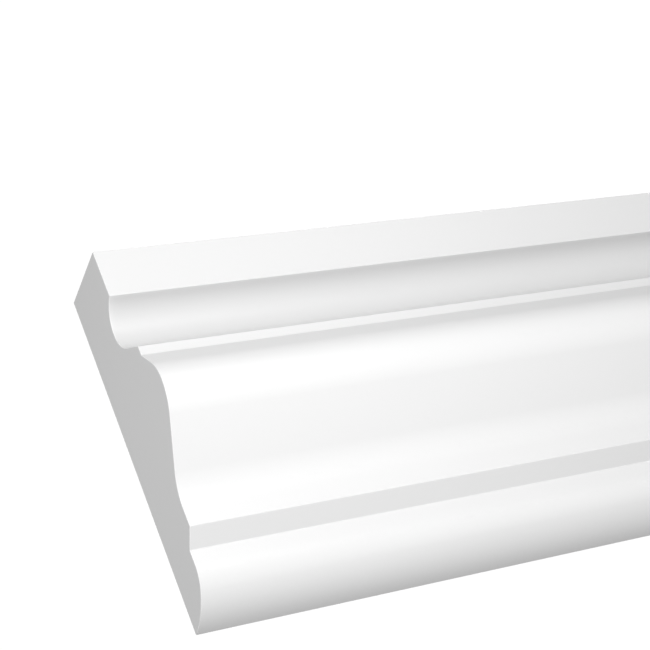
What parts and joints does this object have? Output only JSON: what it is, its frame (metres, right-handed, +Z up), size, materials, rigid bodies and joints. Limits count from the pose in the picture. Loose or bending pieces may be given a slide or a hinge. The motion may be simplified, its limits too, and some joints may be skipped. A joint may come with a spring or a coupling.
{
  "type": "panel moulding",
  "caption": "Straight length of flat-backed wall panel moulding with a plain thick edge, hollow, fillet, rounded swell, bevelled step and bead, square cut at the ends.",
  "frame": {"origin": "middle of the flat back, which lies on the wall", "axes": "+X along the length, +Y out of the back into the wall, +Z up the wall from the bead to the plain thick edge"},
  "size_m": [1, 0.03, 0.0902],
  "materials": {
    "white_primer": "fine satin white primer on hard moulded polymer foam"
  },
  "bodies": {
    "root": {"panel_moulding": "white_primer"}
  },
  "joints": []
}
